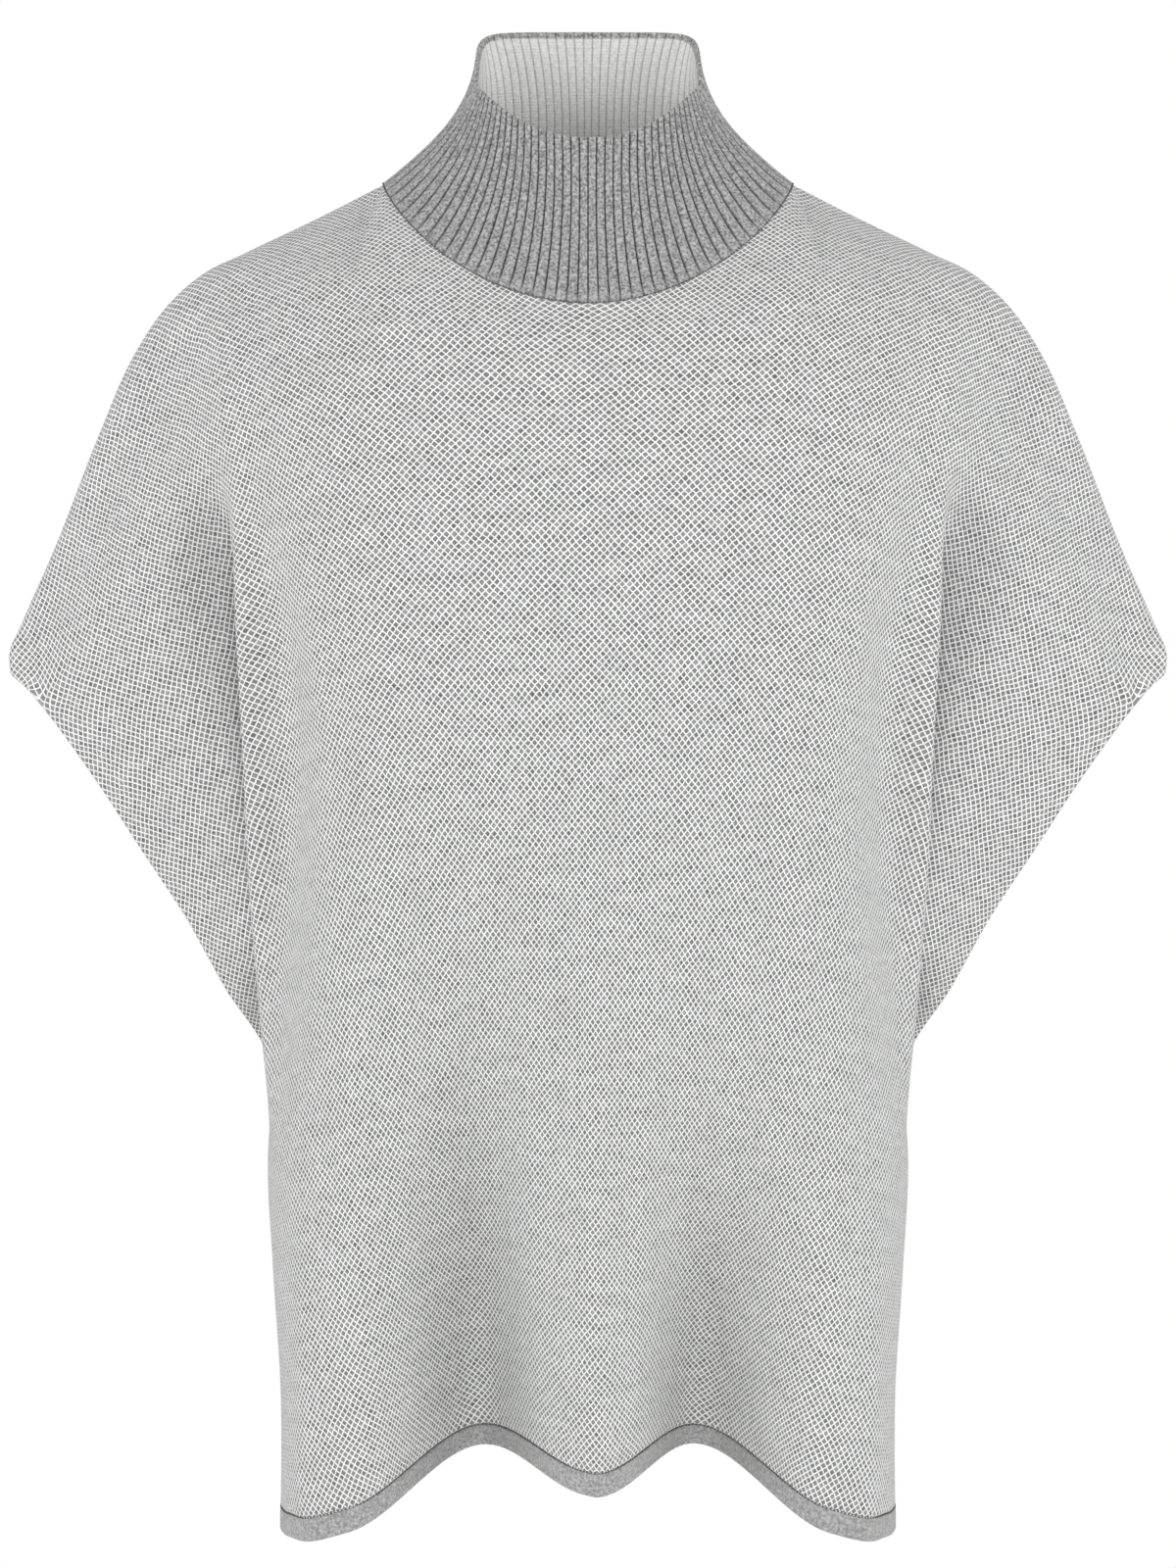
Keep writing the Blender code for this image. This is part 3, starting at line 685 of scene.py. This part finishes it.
height = add_node(tree, "ShaderNodeMath", {0: fleck, 1: 1.2, 2: loops}, operation="MULTIPLY_ADD").outputs[0]
bump = add_node(tree, "ShaderNodeBump", {"Height": height, "Distance": 0.4 * MM, "Strength": 0.7})
tree.links.new(bump.outputs[0], shader.inputs["Normal"])

cut = np.stack([rib_count, wall_height], -1)
mesh = wall_mesh("collar_rib", middle, normals, outer, inner, cut, closed=True)
to_rim = up_lengths[-1:] - up_lengths
for name, on_outer, on_inner in (("inside", 0 * to_rim, 0 * to_rim + 1), ("to_rim", to_rim, to_rim)):
    values = np.stack([on_outer, on_inner]).astype(np.float32)
    mesh.attributes.new(name, "FLOAT", "POINT").data.foreach_set("value", values.ravel())
collar = add_piece("collar_rib", mesh, rib_wool, ["collar"])
down_wall = middle[0] - middle[4]
down_wall /= np.linalg.norm(down_wall, axis=-1, keepdims=True)
neckline = middle[0], normals[0], down_wall

# ---------------------------------------------------------------------------------------------------
# Hem bands: a narrow double band of fine plain jersey in grey marl, linked to each panel's lower edge
# and turned up on itself, so that its own lower edge is round.
# ---------------------------------------------------------------------------------------------------
BAND_WALL, BAND_HEIGHT, BAND_EDGE = 2.4 * MM, 12.6 * MM, 1.2 * MM
BAND_ROWS = np.array([0.3, 0.6, 1.2, 3, 5.5, 8, 10.2, 11.4, 12.1, 12.45, 12.6]) * MM  # below the panel
BAND_WALE, BAND_LOOP = 1.5 * MM, 1.2 * MM
FALL_ROUNDS = 12  # rounds of smoothing of the way that the band hangs
band_wool, tree, shader = yarn_material("plain_marl_wool")
solid_place = add_node(tree, "ShaderNodeTexCoord").outputs["Object"]
cut_map = add_node(tree, "ShaderNodeUVMap", uv_map="cut").outputs["UV"]
place = add_node(tree, "ShaderNodeSeparateXYZ", {0: cut_map}).outputs
fleck = {"Vector": solid_place, "Scale": 700.0, "Detail": 3.0}
fleck = add_node(tree, "ShaderNodeTexNoise", fleck).outputs[0]
fleck_colour = add_node(tree, "ShaderNodeValToRGB", {0: fleck})
for element, (position, colour) in zip(
    fleck_colour.color_ramp.elements, ((0.33, "#828282"), (0.67, "#bababa"))
):
    element.position = position
    element.color = linear(colour)
tree.links.new(fleck_colour.outputs[0], shader.inputs["Base Color"])
ridges = []
for place_along, pitch in ((place["X"], BAND_WALE), (place["Y"], BAND_LOOP)):
    turns = {0: place_along, 1: 2 * np.pi / pitch}
    turns = add_node(tree, "ShaderNodeMath", turns, operation="MULTIPLY").outputs[0]
    ridges.append(add_node(tree, "ShaderNodeMath", {0: turns}, operation="SINE").outputs[0])
height = add_node(tree, "ShaderNodeMath", dict(enumerate(ridges)), operation="ADD").outputs[0]
height = add_node(tree, "ShaderNodeMath", {0: height, 1: 0.2}, operation="MULTIPLY").outputs[0]
height = add_node(tree, "ShaderNodeMath", {0: fleck, 1: 1.0, 2: height}, operation="MULTIPLY_ADD").outputs[0]
bump = add_node(tree, "ShaderNodeBump", {"Height": height, "Distance": 0.35 * MM, "Strength": 0.7})
tree.links.new(bump.outputs[0], shader.inputs["Normal"])
hem_lines = {}
for place_name, side in (("front", -1), ("back", 1)):
    panel, panel_normals = panel_edges[side]
    fall = panel[-1] - panel[-4]
    for _ in range(FALL_ROUNDS):
        fall[1:-1] = (fall[:-2] + 2 * fall[1:-1] + fall[2:]) / 4
    fall[(0, -1), 1] = 0
    fall /= np.linalg.norm(fall, axis=-1, keepdims=True)
    middle = panel[-1] + fall * BAND_ROWS[:, None, None]
    normals = np.broadcast_to(panel_normals[-1], middle.shape)
    end = np.minimum(BAND_ROWS - BAND_ROWS[0], BAND_ROWS[-1] - BAND_ROWS)
    edges = lengths_along(middle)
    to_side = np.minimum(edges, edges[:, -1:] - edges)
    half_wall = BAND_WALL / 2 * np.minimum(rounded(end, BAND_EDGE)[:, None], rounded(to_side, PANEL_EDGE))
    cut = np.stack([edges, np.broadcast_to(BAND_ROWS[:, None], edges.shape)], -1)
    mesh = wall_mesh("hem_band_" + place_name + "_cloth", middle, normals, half_wall, half_wall, cut)
    band = add_piece(mesh.name, mesh, band_wool, ["hem_band_" + place_name])
    hem_lines[side] = panel[-1] + fall * 0.15 * MM, panel_normals[-1], fall

# ---------------------------------------------------------------------------------------------------
# Linking: the rows of small loops that join collar and hem bands to the panels, in the marl yarn.
# ---------------------------------------------------------------------------------------------------
STITCH_PITCH, STITCH_LENGTH, STITCH_WIDTH = 2.1 * MM, 1.1 * MM, 0.9 * MM
NECK_STANDOFF, HEM_STANDOFF = 1.25 * MM, 0.8 * MM  # how far they stand out from the middle of the wall

# Linking yarn: the darkest marl, twisted tight, so that it shows as small dark loops.
stitch_wool, tree, shader = yarn_material("linking_yarn")
shader.inputs["Base Color"].default_value = linear("#585858")

linking = bpy.data.node_groups.new("linking", "GeometryNodeTree")
linking.interface.new_socket(name="Seam", in_out="INPUT", socket_type="NodeSocketGeometry")
for name, kind, value in (
    ("Pitch", "NodeSocketFloat", STITCH_PITCH),
    ("Length", "NodeSocketFloat", STITCH_LENGTH),
    ("Width", "NodeSocketFloat", STITCH_WIDTH),
):
    linking.interface.new_socket(name=name, in_out="INPUT", socket_type=kind).default_value = value
linking.interface.new_socket(name="Yarn", in_out="INPUT", socket_type="NodeSocketMaterial")
linking.interface.new_socket(name="Stitches", in_out="OUTPUT", socket_type="NodeSocketGeometry")
given = add_node(linking, "NodeGroupInput").outputs
line = add_node(linking, "GeometryNodeMeshToCurve", {0: given["Seam"]}).outputs[0]
even = add_node(
    linking, "GeometryNodeResampleCurve", {"Curve": line, "Length": given["Pitch"]}, mode="LENGTH"
).outputs[0]
loop_shape = add_node(linking, "GeometryNodeMeshIcoSphere", {"Radius": 0.5, "Subdivisions": 2}).outputs[0]
way = add_node(linking, "GeometryNodeInputNamedAttribute", {"Name": "way"}, data_type="FLOAT_VECTOR")
facing = {"Vector": way.outputs[0]}
facing = add_node(linking, "FunctionNodeAlignRotationToVector", facing, axis="Z").outputs[0]
size = {0: given["Width"], 1: given["Width"], 2: given["Length"]}
size = add_node(linking, "ShaderNodeCombineXYZ", size).outputs[0]
varied = add_node(linking, "FunctionNodeRandomValue", {"Min": 0.8, "Max": 1.2, "Seed": 4}, data_type="FLOAT")
varied = next(output for output in varied.outputs if output.enabled)
size = add_node(linking, "ShaderNodeVectorMath", {0: size, "Scale": varied}, operation="SCALE").outputs[0]
placing = {"Points": even, "Instance": loop_shape, "Rotation": facing, "Scale": size}
stitches = add_node(linking, "GeometryNodeInstanceOnPoints", placing).outputs[0]
stitches = add_node(linking, "GeometryNodeRealizeInstances", {0: stitches}).outputs[0]
stitches = add_node(linking, "GeometryNodeSetShadeSmooth", {0: stitches}).outputs[0]
finish = {"Geometry": stitches, "Material": given["Yarn"]}
stitches = add_node(linking, "GeometryNodeSetMaterial", finish).outputs[0]
add_node(linking, "NodeGroupOutput", {0: stitches})


def link_stitches(name, line, ways, closed):
    """A row of linking stitches along a line, each lying along its way."""
    count = len(line)
    edges = [(k, (k + 1) % count) for k in range(count if closed else count - 1)]
    mesh = bpy.data.meshes.new(name)
    mesh.from_pydata(line.tolist(), edges, [])
    way = mesh.attributes.new("way", "FLOAT_VECTOR", "POINT")
    way.data.foreach_set("vector", ways.reshape(-1).astype(np.float32))
    seam = bpy.data.objects.new(name + "_line", mesh)
    bpy.context.scene.collection.objects.link(seam)
    modifier = seam.modifiers.new("linking", "NODES")
    modifier.node_group = linking
    yarn_socket = next(item for item in linking.interface.items_tree if item.name == "Yarn")
    modifier[yarn_socket.identifier] = stitch_wool
    graph = bpy.context.evaluated_depsgraph_get()
    made = bpy.data.meshes.new_from_object(seam.evaluated_get(graph))
    bpy.data.objects.remove(seam)
    made.name = name
    return add_piece(name, made, stitch_wool, [])


line, line_normals, ways = neckline
line = line + line_normals * NECK_STANDOFF - ways * 0.1 * MM
link_stitches("neck_linking", line, ways, closed=True)
for place_name, side in (("front", -1), ("back", 1)):
    line, line_normals, ways = hem_lines[side]
    link_stitches("hem_linking_" + place_name, line + line_normals * HEM_STANDOFF, ways, closed=False)

# ---------------------------------------------------------------------------------------------------
# The room: a pale floor below where the wearer's feet would be, white surroundings, and soft lamps in
# front, behind and on both sides.
# ---------------------------------------------------------------------------------------------------
FLOOR_Z, FLOOR_RADIUS = -1.45, 2.9
scene = bpy.context.scene
mesh = bpy.data.meshes.new("floor")
turn = np.linspace(0, 2 * np.pi, 96, endpoint=False)
disc = np.stack([np.cos(turn) * FLOOR_RADIUS, np.sin(turn) * FLOOR_RADIUS, np.full_like(turn, FLOOR_Z)], -1)
mesh.from_pydata(disc.tolist(), [], [tuple(range(len(turn)))])
floor = bpy.data.objects.new("floor", mesh)
scene.collection.objects.link(floor)
floor_paint = bpy.data.materials.new("pale_floor")
floor_paint.use_nodes = True
shader = floor_paint.node_tree.nodes["Principled BSDF"]
shader.inputs["Base Color"].default_value = linear("#f2f2f1")
shader.inputs["Roughness"].default_value = 0.8
mesh.materials.append(floor_paint)

world = bpy.data.worlds.new("white_room")
scene.world = world
world.use_nodes = True
tree = world.node_tree
seen = add_node(tree, "ShaderNodeLightPath").outputs["Is Camera Ray"]
strength = add_node(tree, "ShaderNodeMapRange", {"Value": seen, "To Min": 0.44, "To Max": 1.0}).outputs[0]
tree.nodes["Background"].inputs["Color"].default_value = (1, 1, 1, 1)
tree.links.new(strength, tree.nodes["Background"].inputs["Strength"])

aim = Vector((0, 0, -0.32))
for name, spot, size, power in (
    ("left_lamp", (-2.3, -1.1, 0.4), 1.5, 30),
    ("right_lamp", (2.3, -1.1, 0.4), 1.5, 30),
    ("front_lamp", (0.1, -2.9, -0.3), 1.8, 26),
    ("back_lamp", (0.3, 2.9, 0.2), 1.8, 26),
):
    lamp = bpy.data.lights.new(name, "AREA")
    lamp.energy, lamp.size = power, size
    stand = bpy.data.objects.new(name, lamp)
    stand.location = spot
    stand.rotation_euler = (aim - stand.location).to_track_quat("-Z", "Y").to_euler()
    scene.collection.objects.link(stand)

CAMERA_DISTANCE, FRAME_HEIGHT = 2.0, 0.848  # metres; the frame's height is measured at the neck's plane
lens = bpy.data.cameras.new("camera")
lens.sensor_width = 36
lens.lens = lens.sensor_width * CAMERA_DISTANCE / FRAME_HEIGHT
camera = bpy.data.objects.new("camera", lens)
camera.location = (0, -CAMERA_DISTANCE, -0.3207)
camera.rotation_euler = (np.pi / 2, 0, 0)
scene.collection.objects.link(camera)
scene.camera = camera
scene.view_settings.view_transform = "Standard"
